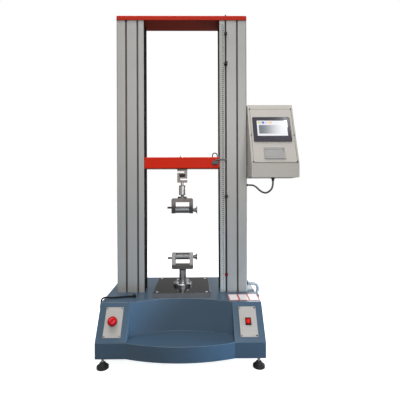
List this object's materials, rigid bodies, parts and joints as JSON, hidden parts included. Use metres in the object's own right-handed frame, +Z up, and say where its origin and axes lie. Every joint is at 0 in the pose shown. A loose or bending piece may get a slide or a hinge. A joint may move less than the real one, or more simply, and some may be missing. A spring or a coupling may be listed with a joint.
{
  "type": "universal testing machine",
  "caption": "Twin-column bench tensile testing machine: scooped sheet-metal base, ballscrew-driven crosshead with S-type load cell, eccentric roller grips, limit rod and side console.",
  "frame": {"origin": "centre of the four feet on the floor plane", "axes": "+X to the console side, seen from the front, +Y to the back, +Z up"},
  "size_m": [0.924, 0.541, 1.634],
  "materials": {
    "red_paint": "satin red paint",
    "blue_paint": "fine textured blue-grey powder coat",
    "frame_paint": "dark grey paint",
    "beige_paint": "pale grey powder coat",
    "column_aluminium": "satin anodised extrusion",
    "mill_aluminium": "mill finish",
    "bright_steel": "ground and brushed",
    "dark_steel": "blackened",
    "plated_steel": "nickel plated, fine grain",
    "black_plastic": "moulded, fine texture",
    "grey_plastic": "moulded, fine texture",
    "light_grey_plastic": "moulded, fine texture",
    "dark_gloss_plastic": "smooth moulded",
    "conduit_plastic": "corrugated hose",
    "red_plastic": "smooth moulded",
    "scale_strip": "printed rule",
    "black_rubber": "matte",
    "screen_glass": "lit display behind a clear window"
  },
  "bodies": {
    "frame": {"base_frame": "frame_paint", "base_housing": "blue_paint", "cable_glands": "black_plastic", "column_scale": "scale_strip", "conduit": "conduit_plastic", "console_bracket": "frame_paint", "console_cable": "black_rubber", "console_case": "beige_paint", "console_face": "beige_paint", "deck_lead": "black_rubber", "drive_belt": "black_rubber", "drive_motor": "frame_paint", "dust_lips": "black_rubber", "estop_collar": "black_plastic", "foot_pads": "black_rubber", "foot_studs": "bright_steel", "guide_rods": "bright_steel", "left_column": "column_aluminium", "lower_grip_jaw": "bright_steel", "lower_grip_yoke": "bright_steel", "lower_post": "bright_steel", "panel_screws": "dark_steel", "platen": "dark_steel", "pod_panels": "blue_paint", "power_inlet": "black_plastic", "printer_body": "light_grey_plastic", "rear_cover": "blue_paint", "right_column": "column_aluminium", "rocker_bezel": "black_plastic", "rod_guides": "black_plastic", "screen_bezel": "dark_gloss_plastic", "screen_glass": "screen_glass", "screw_bearings": "bright_steel", "table_screws": "dark_steel", "top_beam": "red_paint"},
    "crosshead": {"crosshead_beam": "red_paint", "carriages": "mill_aluminium", "carriage_bearings": "bright_steel", "limit_finger": "bright_steel", "cell_plug": "grey_plastic", "cell_lead": "black_rubber", "load_cell": "plated_steel", "load_cell_bolts": "bright_steel", "coupling_sleeve": "bright_steel", "upper_grip_yoke": "bright_steel", "upper_grip_jaw": "bright_steel"},
    "upper_roller": {"upper_grip_roller": "dark_steel"},
    "lower_roller": {"lower_grip_roller": "dark_steel"},
    "left_screw": {"left_screw": "bright_steel"},
    "right_screw": {"right_screw": "bright_steel"},
    "motor_pulley": {"motor_pulley": "mill_aluminium"},
    "estop_stem": {"estop_stem": "grey_plastic"},
    "estop_head": {"estop_head": "red_plastic"},
    "rocker": {"rocker": "red_plastic"},
    "limit_rod": {"limit_rod": "bright_steel"},
    "upper_stop": {"upper_stop": "black_plastic"},
    "lower_stop": {"lower_stop": "black_plastic"},
    "printer_door": {"printer_door": "light_grey_plastic"},
    "printer_button": {"printer_button": "grey_plastic"}
  },
  "joints": [
    {"name": "crosshead_travel", "type": "slide", "parent": "frame", "child": "crosshead", "axis": [0, 0, 1], "range_m": [-0.16, 0.455]},
    {"name": "left_screw_turn", "type": "hinge", "parent": "frame", "child": "left_screw", "pos_m": [-0.276, 0.028, 0.9], "axis": [0, 0, 1], "continuous": true},
    {"name": "right_screw_turn", "type": "hinge", "parent": "frame", "child": "right_screw", "pos_m": [0.276, 0.028, 0.9], "axis": [0, 0, 1], "continuous": true},
    {"name": "motor_turn", "type": "hinge", "parent": "frame", "child": "motor_pulley", "pos_m": [0, 0.165, 0.2], "axis": [0, 0, 1], "continuous": true},
    {"name": "upper_roller_turn", "type": "hinge", "parent": "crosshead", "child": "upper_roller", "pos_m": [0, 0.015, 0.664], "axis": [1, 0, 0], "range_deg": [-160, 0]},
    {"name": "lower_roller_turn", "type": "hinge", "parent": "frame", "child": "lower_roller", "pos_m": [0, 0.015, 0.428], "axis": [1, 0, 0], "range_deg": [0, 160]},
    {"name": "estop_press", "type": "slide", "parent": "frame", "child": "estop_stem", "axis": [0, 0.8293, -0.5589], "range_m": [0, 0.006]},
    {"name": "estop_twist", "type": "hinge", "parent": "estop_stem", "child": "estop_head", "pos_m": [-0.293, -0.2035, 0.191], "axis": [0, -0.8293, 0.5589], "range_deg": [0, 45], "stiffness_Nm_per_rad": 0.2},
    {"name": "power_rocker", "type": "hinge", "parent": "frame", "child": "rocker", "pos_m": [0.293, -0.20516, 0.19212], "axis": [1, 0, 0], "range_deg": [0, 16]},
    {"name": "limit_rod_lift", "type": "slide", "parent": "frame", "child": "limit_rod", "axis": [0, 0, 1], "range_m": [-0.005, 0.005], "stiffness_N_per_m": 2000, "springref_m": 0.002},
    {"name": "upper_stop_slide", "type": "slide", "parent": "limit_rod", "child": "upper_stop", "axis": [0, 0, 1], "range_m": [0, 0.125]},
    {"name": "lower_stop_slide", "type": "slide", "parent": "limit_rod", "child": "lower_stop", "axis": [0, 0, 1], "range_m": [-0.36, 0]},
    {"name": "printer_door_hinge", "type": "hinge", "parent": "frame", "child": "printer_door", "pos_m": [0.429, -0.1229, 0.91692], "axis": [1, 0, 0], "range_deg": [0, 90]},
    {"name": "printer_button_press", "type": "slide", "parent": "frame", "child": "printer_button", "axis": [0, 0.9357, -0.3528], "range_m": [0, 0.0008], "stiffness_N_per_m": 1000}
  ],
  "couplings": [
    {"joint": "left_screw_turn", "follows": "crosshead_travel", "rad_per_m": -628.32},
    {"joint": "right_screw_turn", "follows": "crosshead_travel", "rad_per_m": -628.32},
    {"joint": "motor_turn", "follows": "crosshead_travel", "rad_per_m": -1340.4}
  ]
}
